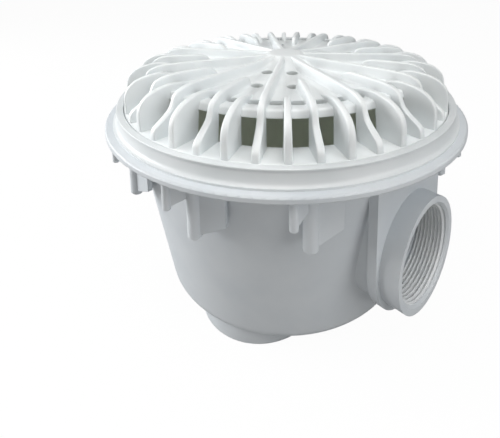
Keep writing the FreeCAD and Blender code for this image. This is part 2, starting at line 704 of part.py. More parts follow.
# Frame screws, one in each long boss
for index in range(value("boss_places") - 1):
    frame_screw = new_body("frame_screw_%02d" % (index + 1))
    screw_sketch = new_sketch(frame_screw, "FrameScrewProfile", "XZ_Plane")
    outline(screw_sketch, [
        ("0", SHELF + " - screw_length"),
        ("screw_radius * 0.6", SHELF + " - screw_length"),
        ("screw_radius", SHELF + " - screw_length + 1"),
        ("screw_radius", SHELF + " - screw_cone"),
        ("screw_head", SHELF),
        ("0", SHELF),
    ])
    turned(frame_screw, "FrameScrew", screw_sketch)
    placed(frame_screw, "boss_circle", "(boss_start + %d * 360 / boss_places)" % index)

# Cover screws and their inserts
for index in range(2):
    at = "(%s + %d)" % (LATCH, 180 * index)
    cover_screw = new_body("cover_screw_%d" % (index + 1))
    latch_sketch = new_sketch(cover_screw, "LatchProfile", "XZ_Plane")
    outline(latch_sketch, [
        ("0", "rim_height + latch_end"),
        ("latch_radius", "rim_height + latch_end"),
        ("latch_radius", LEDGE),
        ("latch_head", LEDGE),
        ("latch_head", LEDGE + " + latch_rise * 0.4"),
        ("latch_head * 0.7", LEDGE + " + latch_rise"),
        ("0", LEDGE + " + latch_rise"),
    ])
    turned(cover_screw, "LatchScrew", latch_sketch)
    placed(cover_screw, "latch_circle", at)
    cover_insert = new_body("cover_insert_%d" % (index + 1))
    insert_sketch = new_sketch(cover_insert, "InsertProfile", "XZ_Plane")
    outline(insert_sketch, [
        ("latch_radius + screw_play", SHELF + " - insert_length"),
        ("insert_radius", SHELF + " - insert_length"),
        ("insert_radius", SHELF),
        ("latch_radius + screw_play", SHELF),
    ])
    turned(cover_insert, "Insert", insert_sketch)
    placed(cover_insert, "latch_circle", at)

doc.recompute()
failed = [item.Name for item in doc.Objects if "Invalid" in item.State or "Error" in item.State]
if failed:
    raise RuntimeError("failed: " + ", ".join(failed))
bodies = [item for item in doc.Objects if item.TypeId == "PartDesign::Body"]
for body in bodies:
    shape = body.Shape
    if shape.isNull() or not shape.isValid() or len(shape.Solids) != 1:
        raise RuntimeError("bad shape: " + body.Label)
os.makedirs("parts", exist_ok=True)
for body in bodies:
    body.Shape.exportStep("parts/%s.step" % body.Label)
    box = body.Shape.BoundBox
    print("%-16s %9.0f mm3  z %.2f to %.2f" % (body.Label, body.Shape.Volume, box.ZMin, box.ZMax))
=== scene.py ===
import logging
import math
from dataclasses import dataclass, field
from enum import Enum

import bmesh
import bpy
import numpy as np
from mathutils import Matrix, Vector


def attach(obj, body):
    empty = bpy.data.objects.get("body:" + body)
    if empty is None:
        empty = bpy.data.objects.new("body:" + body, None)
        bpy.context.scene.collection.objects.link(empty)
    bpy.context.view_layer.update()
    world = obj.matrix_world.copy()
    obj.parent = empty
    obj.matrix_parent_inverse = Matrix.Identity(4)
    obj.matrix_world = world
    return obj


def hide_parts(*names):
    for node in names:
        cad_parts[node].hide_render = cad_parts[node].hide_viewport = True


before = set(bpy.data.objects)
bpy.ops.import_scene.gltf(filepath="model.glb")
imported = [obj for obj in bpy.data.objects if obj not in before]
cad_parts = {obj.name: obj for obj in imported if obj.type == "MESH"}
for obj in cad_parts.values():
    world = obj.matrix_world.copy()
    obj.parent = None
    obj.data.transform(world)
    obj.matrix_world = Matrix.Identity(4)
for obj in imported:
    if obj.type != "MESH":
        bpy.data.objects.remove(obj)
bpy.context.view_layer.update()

LOG = logging.getLogger("pool_main_drain")
MM = 0.001
# Heights of the cover and the ring count from here, in millimetres.
FLANGE_TOP = 124.5
# The cover's ribs: how many, the first one's angle and the step between them, in degrees.
RIBS = 44
FIRST_RIB = 3.4
RIB_PITCH = 360.0 / RIBS
# Points round a moulding; six to every rib of the cover.
ROUND_STEPS = 6 * RIBS
# Circle and first angle of the two cover screws and of the seats under them.
COVER_SCREW_CIRCLE = 107.0
COVER_SCREW_START = FIRST_RIB + 3.5 * RIB_PITCH
FRAME_SCREWS = 10
# Mouth of the side port, then circle and angle of the bottom port's mouth on z = 0.
SIDE_PORT_MOUTH = (113.4, 0.0, 59.9)
BOTTOM_PORT_CIRCLE = 43.0
BOTTOM_PORT_ANGLE = -69.75
# Middle of the pot's wall, as radius and height, and the heights where the painted reflection tint
# on its inner wall begins.
POT_WALL = ((82.7, 7.8), (104.5, 120.5))
POT_FLOOR = (12.0, 16.0)

Array = np.ndarray


class Sheen(Enum):
    """How a moulded or turned surface is left."""

    SATIN = "satin"
    FINE = "fine"
    BRUSHED = "brushed"
    DULL = "dull"


class RibKind(Enum):
    """The three ribs of a sector of the cover."""

    LONG = "long"
    MIDDLE = "middle"
    SHORT = "short"


def linear(code: str) -> tuple[float, float, float, float]:
    """Turn an sRGB hex code into the linear colour that shaders take.

    Args:
        code: six hex digits, with or without a leading #.

    Returns:
        Linear red, green, blue and an alpha of 1.
    """
    parts = [int(code.lstrip("#")[i:i + 2], 16) / 255 for i in (0, 2, 4)]
    line = [c / 12.92 if c <= 0.04045 else ((c + 0.055) / 1.055) ** 2.4 for c in parts]
    return (line[0], line[1], line[2], 1.0)


def add_node(
    tree: bpy.types.NodeTree, kind: str, links: dict | None = None, **values
) -> bpy.types.Node:
    """Add a shader node, set its sockets and properties, and link its inputs.

    Args:
        tree: node tree of the material.
        kind: Blender's name of the node.
        links: input name or number to the output that feeds it.
        **values: properties of the node, or sockets by name with _ for a space.

    Returns:
        The new node.
    """
    node = tree.nodes.new(kind)
    for key, value in values.items():
        label = key.replace("_", " ")
        if hasattr(node, key):
            setattr(node, key, value)
        else:
            node.inputs[label].default_value = value
    for key, output in (links or {}).items():
        tree.links.new(output, node.inputs[key])
    return node


@dataclass(frozen=True)
class Finish:
    """A surface: a body colour, a second tone that clouds it, and a fine relief.

    The clouding and the relief are noises on Object coordinates with real sizes, so
    they stay where they are on the piece in every view.
    """

    name: str
    colour: str
    tone: str
    sheen: Sheen
    roughness: float
    cloud_mm: float = 18.0
    grain_mm: float = 0.35
    relief_mm: float = 0.015
    metallic: float = 0.0
    edge_mm: float = 0.0
    # Colour of a painted reflection tint on the pot's inner wall, an olive cast standing in for
    # light in the shaded pot; empty for none.
    inside: str = ""

    def build(self) -> bpy.types.Material:
        """Build the node material.

        Returns:
            The material, made once per finish.
        """
        made = bpy.data.materials.get(self.name)
        if made is not None:
            return made
        made = bpy.data.materials.new(self.name)
        made.use_nodes = True
        tree = made.node_tree
        tree.nodes.clear()
        where = add_node(tree, "ShaderNodeTexCoord")
        place = where.outputs["Object"]
        if self.sheen is Sheen.BRUSHED:
            place = add_node(
                tree, "ShaderNodeMapping", {"Vector": place}, Scale=(1.0, 1.0, 9.0)
            ).outputs["Vector"]
        cloud = add_node(
            tree, "ShaderNodeTexNoise", {"Vector": place},
            Scale=1.0 / (self.cloud_mm * MM), Detail=3.0, Roughness=0.55,
        )
        grain = add_node(
            tree, "ShaderNodeTexNoise", {"Vector": place},
            Scale=1.0 / (self.grain_mm * MM), Detail=2.0, Roughness=0.5,
        )
        tones = add_node(tree, "ShaderNodeValToRGB", {"Fac": cloud.outputs["Fac"]})
        tones.color_ramp.elements[0].position = 0.30
        tones.color_ramp.elements[0].color = linear(self.tone)
        tones.color_ramp.elements[1].position = 0.62
        tones.color_ramp.elements[1].color = linear(self.colour)
        gloss = add_node(
            tree, "ShaderNodeMapRange", {"Value": grain.outputs["Fac"]},
            To_Min=self.roughness - 0.05, To_Max=self.roughness + 0.07,
        )
        feeds = {"Height": grain.outputs["Fac"]}
        if self.edge_mm > 0:
            feeds["Normal"] = add_node(
                tree, "ShaderNodeBevel", samples=6, Radius=self.edge_mm * MM
            ).outputs["Normal"]
        bump = add_node(
            tree, "ShaderNodeBump", feeds, Strength=0.5, Distance=self.relief_mm * MM
        )
        colour = tones.outputs["Color"]
        # The pot's inner wall gets a painted reflection tint.
        if self.inside:
            colour = self.paint_reflection_inside(tree, where.outputs["Object"], colour)
        shader = add_node(
            tree, "ShaderNodeBsdfPrincipled",
            {
                "Base Color": colour,
                "Roughness": gloss.outputs["Result"],
                "Normal": bump.outputs["Normal"],
            },
            Metallic=self.metallic,
        )
        add_node(tree, "ShaderNodeOutputMaterial", {"Surface": shader.outputs["BSDF"]})
        return made

    def paint_reflection_inside(
        self, tree: bpy.types.NodeTree, place: bpy.types.NodeSocket, colour: bpy.types.NodeSocket
    ) -> bpy.types.NodeSocket:
        """Paint a painted reflection on the pot's inner wall: an olive tint where the radius is
        under that of the wall's middle.

        The middle of the wall is a line from POT_WALL's first radius and height to its
        second, and the painted reflection tint begins a few millimetres above the pot's bottom.

        Args:
            tree: node tree of the material.
            place: Object coordinates.
            colour: colour outside.

        Returns:
            Colour inside and outside.
        """
        parts = add_node(tree, "ShaderNodeSeparateXYZ", {"Vector": place})
        flat = add_node(
            tree, "ShaderNodeCombineXYZ", {"X": parts.outputs["X"], "Y": parts.outputs["Y"]}
        )
        radius = add_node(
            tree, "ShaderNodeVectorMath", {0: flat.outputs["Vector"]}, operation="LENGTH"
        )
        wall = add_node(
            tree, "ShaderNodeMapRange", {"Value": parts.outputs["Z"]},
            From_Min=POT_WALL[0][1] * MM, From_Max=POT_WALL[1][1] * MM,
            To_Min=POT_WALL[0][0] * MM, To_Max=POT_WALL[1][0] * MM,
        )
        within = add_node(
            tree, "ShaderNodeMath", {0: radius.outputs["Value"], 1: wall.outputs["Result"]},
            operation="LESS_THAN",
        )
        above = add_node(
            tree, "ShaderNodeMapRange", {"Value": parts.outputs["Z"]},
            From_Min=POT_FLOOR[0] * MM, From_Max=POT_FLOOR[1] * MM,
        )
        both = add_node(
            tree, "ShaderNodeMath", {0: within.outputs["Value"], 1: above.outputs["Result"]},
            operation="MULTIPLY",
        )
        # Painted reflection: blend the olive tint into the colour where the mask holds.
        mix = add_node(
            tree, "ShaderNodeMix", {0: both.outputs["Value"], 6: colour}, data_type="RGBA"
        )
        mix.inputs[7].default_value = linear(self.inside)
        return mix.outputs[2]


COVER_ABS = Finish("moulded_white_abs_cover", "#E9EDEE", "#E3E8EA", Sheen.SATIN, 0.34, 30.0)
# Ring and pot are greyer than the cover: partly their own tone, partly painted shade for the shade
# under the ring's lip and the flange.
RING_ABS = Finish("moulded_white_abs_ring_painted_shade", "#DADEE0", "#D4D9DB", Sheen.SATIN, 0.36, 30.0)
POT_ABS = Finish(
    "moulded_white_abs_pot_painted_shade", "#D2D7DB", "#CBD1D6", Sheen.FINE, 0.46, 34.0, 0.6, 0.03,
    # inside: painted reflection tint, an olive cast for light in the shaded pot.
    edge_mm=0.4, inside="#EAEFDE",
)
THREAD_ABS = Finish("cut_white_abs_thread", "#E2E5E7", "#DADEE1", Sheen.SATIN, 0.36)
STAINLESS = Finish(
    "brushed_stainless_steel", "#B9B9B4", "#A6A6A2", Sheen.BRUSHED, 0.30, 3.0, 0.12, 0.01, 1.0
)
BRASS = Finish("turned_brass", "#C09A4E", "#A98743", Sheen.BRUSHED, 0.32, 3.0, 0.12, 0.01, 1.0)
EPDM = Finish("black_epdm_rubber", "#1B1B1C", "#141415", Sheen.DULL, 0.62, 4.0, 0.25, 0.02)


def rounded(points: list[tuple[float, float, float]], steps: int = 4) -> Array:
    """Round the corners of an open or closed line in a plane.

    At a corner with radius q the line is cut back by q times the tangent of half the
    turn on both sides and the arc between follows the circle that touches both sides.

    Args:
        points: x, y and corner radius of each point; ends of an open line have 0.
        steps: chords along each arc.

    Returns:
        Points of the rounded line, one row each.
    """
    spots = np.array([p[:2] for p in points], dtype=float)
    count = len(points)
    out: list[Array] = []
    for i, (_, _, radius) in enumerate(points):
        here, back, ahead = spots[i], spots[i - 1], spots[(i + 1) % count]
        if radius <= 0:
            out.append(here[None])
            continue
        a = (back - here) / np.linalg.norm(back - here)
        b = (ahead - here) / np.linalg.norm(ahead - here)
        half = math.acos(float(np.clip(a @ b, -1, 1))) / 2
        room = 0.49 * min(np.linalg.norm(back - here), np.linalg.norm(ahead - here))
        cut = min(radius / math.tan(half), room)
        centre = here + (a + b) / np.linalg.norm(a + b) * cut / math.cos(half)
        start, end = here + a * cut - centre, here + b * cut - centre
        turn = math.atan2(start[0] * end[1] - start[1] * end[0], float(start @ end))
        angles = np.linspace(0, turn, steps + 1)
        cos, sin = np.cos(angles), np.sin(angles)
        arc = np.stack([start[0] * cos - start[1] * sin, start[0] * sin + start[1] * cos], 1)
        out.append(centre + arc)
    return np.concatenate(out)


def resample(line: Array, count: int) -> Array:
    """Points at equal steps of length along a line.

    Args:
        line: points of the line.
        count: points wanted.

    Returns:
        The new points.
    """
    steps = np.linalg.norm(np.diff(line, axis=0), axis=1)
    along = np.concatenate([[0.0], np.cumsum(steps)])
    wanted = np.linspace(0, along[-1], count)
    return np.stack([np.interp(wanted, along, line[:, k]) for k in range(line.shape[1])], 1)


def smooth(points: list[tuple[float, float]], count: int) -> Array:
    """Points at equal steps along a smooth line through given points.

    Each stretch is the cubic whose ends take half the step between the neighbours as
    their direction, so the line passes every point without a kink.

    Args:
        points: the points that the line passes.
        count: points wanted.

    Returns:
        The new points.
    """
    spots = np.array(points, dtype=float)
    ahead = np.gradient(spots, axis=0)
    t = np.linspace(0, 1, 9)[None, :-1, None]
    a, b = spots[:-1, None], spots[1:, None]
    da, db = ahead[:-1, None], ahead[1:, None]
    line = (
        (2 * t ** 3 - 3 * t ** 2 + 1) * a + (t ** 3 - 2 * t ** 2 + t) * da
        + (3 * t ** 2 - 2 * t ** 3) * b + (t ** 3 - t ** 2) * db
    )
    return resample(np.concatenate([line.reshape(-1, 2), spots[-1:]]), count)


def grid_faces(rows: int, columns: int, wrap_rows: bool, wrap_columns: bool) -> Array:
    """Quads of a grid of points, joined round where it closes on itself.

    Args:
        rows: points down the grid.
        columns: points across the grid.
        wrap_rows: last row joins the first.
        wrap_columns: last column joins the first.

    Returns:
        Four point numbers per face.
    """
    i = np.arange(rows if wrap_rows else rows - 1)[:, None]
    j = np.arange(columns if wrap_columns else columns - 1)[None, :]
    i2, j2 = (i + 1) % rows, (j + 1) % columns
    quad = [i * columns + j, i * columns + j2, i2 * columns + j2, i2 * columns + j]
    return np.stack(np.broadcast_arrays(*quad), -1).reshape(-1, 4)


def make_piece(
    name: str,
    points: Array,
    faces: list,
    finish: Finish,
    sharp: float = 38.0,
) -> bpy.types.Object:
    """Turn points in millimetres and faces into a smooth object that faces outwards.

    Args:
        name: name of the piece.
        points: one row of x, y, z per point, in millimetres.
        faces: point numbers of each face.
        finish: its surface.
        sharp: angle in degrees above which an edge stays sharp.

    Returns:
        The object, linked to the scene.
    """
    mesh = bpy.data.meshes.new(name)
    mesh.from_pydata((points * MM).tolist(), [], [list(f) for f in faces])
    piece = bpy.data.objects.new(name, mesh)
    bpy.context.scene.collection.objects.link(piece)
    finish_mesh(piece, finish, sharp)
    return piece


def finish_mesh(piece: bpy.types.Object, finish: Finish, sharp: float = 38.0) -> None:
    """Close, orient and smooth a piece's mesh and give it its material.

    Args:
        piece: the object.
        finish: its surface.
        sharp: angle in degrees above which an edge stays sharp.
    """
    mesh = piece.data
    shape = bmesh.new()
    shape.from_mesh(mesh)
    bmesh.ops.remove_doubles(shape, verts=shape.verts, dist=1e-6)
    bmesh.ops.recalc_face_normals(shape, faces=shape.faces)
    shape.to_mesh(mesh)
    shape.free()
    mesh.shade_smooth()
    mesh.set_sharp_from_angle(angle=math.radians(sharp))
    mesh.materials.clear()
    mesh.materials.append(finish.build())


def apply_cut(piece: bpy.types.Object, tool: bpy.types.Object, ease_mm: float = 0.0) -> None:
    """Cut a tool out of a piece, ease the new edges and keep the result as its mesh.

    Args:
        piece: the object that is cut.
        tool: the object that cuts; it is removed.
        ease_mm: width of the eased edges, 0 for none.
    """
    cut = piece.modifiers.new("cut", "BOOLEAN")
    cut.operation, cut.solver, cut.object = "DIFFERENCE", "EXACT", tool
    if ease_mm > 0:
        ease = piece.modifiers.new("edges", "BEVEL")
        ease.width, ease.segments = ease_mm * MM, 2
        ease.limit_method, ease.angle_limit = "ANGLE", math.radians(60)
        ease.use_clamp_overlap = True
    graph = bpy.context.evaluated_depsgraph_get()
    mesh = bpy.data.meshes.new_from_object(piece.evaluated_get(graph))
    piece.modifiers.clear()
    piece.data = mesh
    bpy.data.objects.remove(tool)


def lathe(profile: Array, count: int, closed: bool = True) -> tuple[Array, list]:
    """Carry a closed profile round the axis: x = r cos a, y = r sin a, z = z.

    Args:
        profile: radius and height of each point of the outline.
        count: copies of the profile round the axis.
        closed: the outline closes on itself; otherwise its ends lie on the axis.

    Returns:
        Points and faces.
    """
    angle = np.linspace(0, 2 * np.pi, count, endpoint=False)[:, None]
    radius, height = profile[None, :, 0], profile[None, :, 1]
    points = np.stack(
        np.broadcast_arrays(radius * np.cos(angle), radius * np.sin(angle), height), -1
    ).reshape(-1, 3)
    return points, grid_faces(count, len(profile), True, closed).tolist()


def turned_about_axis(points: Array, angles: Array) -> Array:
    """Copies of a set of points, each turned by one angle about the axis.

    Args:
        points: the set, one row each.
        angles: degrees, one per copy.

    Returns:
        All copies, stacked one after the other.
    """
    turn = np.radians(angles)[:, None]
    x, y, z = points[None, :, 0], points[None, :, 1], points[None, :, 2]
    return np.stack(
        [x * np.cos(turn) - y * np.sin(turn), x * np.sin(turn) + y * np.cos(turn),
         np.broadcast_to(z, (len(angles), len(points)))], -1
    ).reshape(-1, 3)


def repeated_faces(faces: list, size: int, copies: int) -> list:
    """Faces of several copies of one mesh that follow one another.

    Args:
        faces: faces of one copy.
        size: points of one copy.
        copies: how many.

    Returns:
        Faces of all copies.
    """
    return [[k + size * c for k in f] for c in range(copies) for f in faces]


# Free edges of the ribs, as radius and height: the short ribs' arch, and the long and
# middle ribs' crown and S-shaped leg.
SHORT_EDGE = (
    (73.5, 29.9), (77.7, 31.0), (83.0, 32.4), (88.5, 33.2), (93.0, 33.0), (97.0, 32.2),
    (100.6, 31.3), (104.2, 29.8), (107.2, 27.8), (109.5, 25.3), (111.0, 22.2),
)
CROWN = (
    (9.6, 36.8), (24.0, 36.4), (36.0, 36.1), (56.0, 35.8), (76.0, 35.4), (85.5, 34.9), (90.0, 34.1),
)
LEG = (
    (90.0, 34.1), (94.6, 32.1), (97.0, 29.6), (98.1, 26.9), (99.8, 23.5), (102.8, 20.8),
    (106.1, 18.5), (109.3, 16.3), (111.2, 14.3),
)


@dataclass
class Cover:
    """The domed anti-entrapment cover: ledge, plate, hub, ribs, slots and holes.

    Sizes are millimetres; heights count from the flange's top.
    """

    radius: float = 112.0
    ledge_rise: float = 9.5
    ledge_bore: float = 93.5
    shelf: float = 3.0
    wall: float = 3.0
    rim_rise: float = 28.9
    plate_rise: float = 29.9
    plate_radius: float = 93.0
    skirt: float = 4.6
    skirt_wall: float = 2.0
    rim_slant: float = 1.4
    hub_rise: float = 36.9
    hub_radius: float = 12.0
    hub_foot: float = 25.0
    sectors: int = RIBS // 4
    rib_half: float = 1.7
    draft: float = 0.30
    flare: float = 1.1
    foot_swell: float = 0.30
    tip_taper: float = 0.45
    crest: float = 0.9
    root: float = 1.6
    sink: float = 1.0
    slot_row: float = 82.0
    slot_size: tuple[float, float] = (6.3, 7.9)
    inner_row: tuple[float, float] = (29.6, 3.9)
    outer_row: tuple[float, float] = (56.2, 3.8)
    outer_start: float = FIRST_RIB
    outer_count: int = 16
    finish: Finish = COVER_ABS

    def plate(self) -> tuple[Array, list]:
        """Plate with its rim skirt and hollow hub, as a lathe of a rounded outline.

        Returns:
            Points and faces.
        """
        top, rim, low = self.plate_rise, self.rim_rise, self.rim_rise - self.skirt
        inner = self.plate_radius - self.skirt_wall
        line = rounded([
            (0.0, self.hub_rise - self.wall, 0),
            (self.hub_radius - 1.0, self.hub_rise - self.wall, 2.0),
            (self.hub_foot - 1.0, top - self.wall, 4.0),
            (inner, rim - self.wall, 0.8),
            (inner, low, 0.5),
            (self.plate_radius, low, 0.6),
            (self.plate_radius - self.rim_slant, rim, 1.8),
            (self.hub_foot, top, 9.0),
            (self.hub_radius, self.hub_rise, 7.0),
            (0.0, self.hub_rise, 0),
        ])
        line[:, 1] += FLANGE_TOP
        return lathe(line, ROUND_STEPS, closed=False)

    def ledge(self) -> tuple[Array, list]:
        """Ledge with its outer skirt and inner wall, as a lathe of a rounded outline.

        Returns:
            Points and faces.
        """
        bore, top, low = self.ledge_bore, self.ledge_rise, self.shelf
        line = rounded([
            (bore, low, 0.4),
            (bore + self.wall, low, 0.4),
            (bore + self.wall, top - self.wall, 0.8),
            (self.radius - self.wall, top - self.wall, 0.8),
            (self.radius - self.wall, low, 0.4),
            (self.radius, low, 0.4),
            (self.radius, top, 0.7),
            (bore, top, 0.9),
        ])
        line[:, 1] += FLANGE_TOP
        return lathe(line, ROUND_STEPS)

    def inner_line(self, along: Array, floor: Array, count: int) -> Array:
        """A rib's inner line: in the plate, down its skirt, then across the window.

        Args:
            along: radii of the stations over the plate.
            floor: height of the plate's top at each of them.
            count: stations across the window.

        Returns:
            Radius and height of each station.
        """
        low = self.rim_rise - self.skirt
        rim = self.plate_radius - 0.8
        window = (np.linspace(rim + 0.2, self.ledge_bore + 1.0, count),
                  np.linspace(low + 0.4, self.ledge_rise - self.sink, count))
        return np.concatenate([
            np.stack([np.minimum(along, rim), floor - self.root], 1),
            np.stack([np.full(6, rim), np.linspace(self.rim_rise - 1.8, low + 0.8, 6)], 1),
            np.stack(window, 1),
        ])

    def stations(self, kind: RibKind) -> tuple[Array, Array, Array]:
        """Outer and inner line of a rib's side view, station by station.

        The outer line is the rib's free edge from the middle of the cover out and down
        to the ledge; the inner line runs inside the plate, down its skirt and across
        the window to the ledge. Between them the rib is filled.

        Args:
            kind: which rib.

        Returns:
            Outer points, inner points and depth sunk into the plate.
        """
        edge, foot = self.radius - 0.4, self.ledge_rise - self.sink
        if kind is RibKind.SHORT:
            outer = smooth([
                (70.0, self.rim_rise - 0.2), *SHORT_EDGE, (edge, 18.4), (edge, 13.5), (edge, foot),
            ], 42)
            along = outer[:14, 0]
            floor = np.interp(
                along, [self.hub_foot, self.plate_radius], [self.plate_rise, self.rim_rise]
            )
            sunk = np.concatenate([np.full(14, self.root), np.zeros(28)])
            return outer, self.inner_line(along, floor, 22), sunk
        crown = np.array(CROWN)
        leg = smooth([*LEG, (edge, 12.0), (edge, foot)], 28)[1:]
        along = np.linspace(crown[0, 0], crown[-1, 0], 18)
        if kind is RibKind.MIDDLE:
            turn = np.linspace(0, np.pi / 2, 9)
            tip = 54.0 + 9.0 * (1 - np.cos(turn))
            along = np.concatenate([tip, np.linspace(66.0, crown[-1, 0], 9)])
        height = np.interp(along, crown[:, 0], crown[:, 1])
        top = np.interp(
            along, [0, self.hub_radius, self.hub_foot, self.plate_radius],
            [self.hub_rise, self.hub_rise, self.plate_rise, self.rim_rise],
        )
        if kind is RibKind.MIDDLE:
            swell = np.concatenate([np.sin(turn), np.ones(9)])
            height = top - 0.5 + (height - top + 0.5) * swell
        outer = np.concatenate([np.stack([along, height], 1), leg])
        sunk = np.concatenate([np.full(18, self.root), np.zeros(27)])
        return outer, self.inner_line(along, top, 21), sunk

    def rib(self, kind: RibKind) -> tuple[Array, list]:
        """One rib at angle 0: a loop of points round its section at each station.

        Across the rib the free edge is a flattened half round: its width goes with the
        cosine to the power 0.6, its height with the sine to the power 0.8. The sides lean
        out by the draft, and near the plate they flare in a fillet. A rib swells towards
        its foot, and all but the long ones taper towards their inner tip.

        Args:
            kind: which rib.

        Returns:
            Points and faces of a closed solid.
        """
        outer, inner, sunk = self.stations(kind)
        reach = inner - outer
        length = np.linalg.norm(reach, axis=1)
        reach = reach / length[:, None]
        half = self.rib_half
        widest = 0.0 if kind is RibKind.SHORT else self.flare
        flare = np.where(sunk > 0, widest * np.clip((78.0 - outer[:, 0]) / 10.0, 0, 1), 0)
        swing = np.linspace(0, np.pi, 9)
        foot = np.maximum(length - sunk, 0.5)
        body = np.maximum(foot - 2.4 * (flare > 0), half + 0.1)
        steps = (0.04, 0.35, 0.7, 1.0)
        depth = [self.crest + (body - self.crest) * part for part in steps]
        side = [np.full_like(length, half + self.draft * part) for part in steps]
        for part in (0.35, 0.7, 1.0):
            depth.append(body + (foot - body) * part)
            side.append(half + self.draft + flare * (1 - math.sqrt(1 - part ** 2)))
        depth.append(length)
        side.append(half + self.draft + flare)
        round_depth = [np.full_like(length, self.crest * (1 - math.sin(a) ** 0.8)) for a in swing]
        round_side = [
            np.full_like(length, half * math.copysign(abs(math.cos(a)) ** 0.6, math.cos(a)))
            for a in swing
        ]
        depth_grid = np.stack(round_depth + depth + depth[::-1], 1)
        side_grid = np.stack(round_side + [-w for w in side] + side[::-1], 1)
        swell = 1.0 + self.foot_swell * np.clip((34.0 - outer[:, 1]) / 24.0, 0, 1)
        if kind is not RibKind.LONG:
            swell *= 1 - self.tip_taper * np.clip(1 - (outer[:, 0] - outer[0, 0]) / 9.0, 0, 1) ** 2
        flat = outer[:, None, :] + reach[:, None, :] * depth_grid[:, :, None]
        points = np.stack(
            [flat[..., 0], side_grid * swell[:, None], flat[..., 1] + FLANGE_TOP], -1
        ).reshape(-1, 3)
        rows, columns = depth_grid.shape
        faces = grid_faces(rows, columns, False, True).tolist()
        faces.append(list(range(columns)))
        faces.append(list(range((rows - 1) * columns, rows * columns)))
        return points, faces

    def cutters(self) -> tuple[Array, list]:
        """Upright prisms that cut the slots and the two rows of holes.

        Returns:
            Points and faces of all prisms.
        """
        near, far = (self.slot_row + side * self.slot_size[0] / 2 for side in (-1, 1))
        half, corner = self.slot_size[1] / 2, 1.9
        slot = rounded([
            (near, -half, corner), (far, -half, corner), (far, half, corner), (near, half, corner),
        ], 5)
        circle = np.linspace(0, 2 * np.pi, 40, endpoint=False)
        sets = [(slot, FIRST_RIB + RIB_PITCH * (np.arange(RIBS) + 0.5))]
        for row, size, start, count in (
            (*self.inner_row, FIRST_RIB + 3 * RIB_PITCH, self.sectors),
            (*self.outer_row, self.outer_start, self.outer_count),
        ):
            hole = np.stack([row + size * np.cos(circle), size * np.sin(circle)], 1)
            sets.append((hole, start + np.arange(count) * 360.0 / count))
        points, faces, base = [], [], 0
        for outline, angles in sets:
            size = len(outline)
            low = np.column_stack([outline, np.full(size, FLANGE_TOP + self.rim_rise - 4.6)])
            high = np.column_stack([outline, np.full(size, FLANGE_TOP + self.plate_rise + 3.0)])
            both = np.concatenate([low, high])
            wall = [[k, (k + 1) % size, size + (k + 1) % size, size + k] for k in range(size)]
            solid = wall + [list(range(size))[::-1], list(range(size, 2 * size))]
            points.append(turned_about_axis(both, angles))
            faces += [[k + base for k in f] for f in repeated_faces(solid, 2 * size, len(angles))]
            base += 2 * size * len(angles)
        return np.concatenate(points), faces

    def cut_plate(self) -> bpy.types.Object:
        """The plate with its slots and holes cut and their edges eased.

        Returns:
            The plate as an object.
        """
        plate = make_piece("cover_plate_work", *self.plate(), self.finish)
        tool = make_piece("cover_cutters_work", *self.cutters(), self.finish)
        apply_cut(plate, tool, 0.45)
        return plate

    def build(self) -> bpy.types.Object:
        """Build the cover as one object in place of its solid.

        Returns:
            The cover.
        """
        plate = self.cut_plate()
        shapes = [self.ledge()]
        for kind, first, step, count in (
            (RibKind.SHORT, 0, 2, 2 * self.sectors),
            (RibKind.LONG, 1, 4, self.sectors),
            (RibKind.MIDDLE, 3, 4, self.sectors),
        ):
            points, faces = self.rib(kind)
            angles = FIRST_RIB + RIB_PITCH * (first + step * np.arange(count))
            copies = repeated_faces(faces, len(points), count)
            shapes.append((turned_about_axis(points, angles), copies))
        base, points, faces = 0, [], []
        for part_points, part_faces in shapes:
            points.append(part_points)
            faces += [[k + base for k in f] for f in part_faces]
            base += len(part_points)
        cover = make_piece("cover_moulding", np.concatenate(points), faces, self.finish)
        shape = bmesh.new()
        shape.from_mesh(cover.data)
        shape.from_mesh(plate.data)
        shape.to_mesh(cover.data)
        shape.free()
        bpy.data.objects.remove(plate)
        finish_mesh(cover, self.finish)
        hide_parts("cover")
        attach(cover, "root")
        LOG.info("cover: %d faces", len(cover.data.polygons))
        return cover


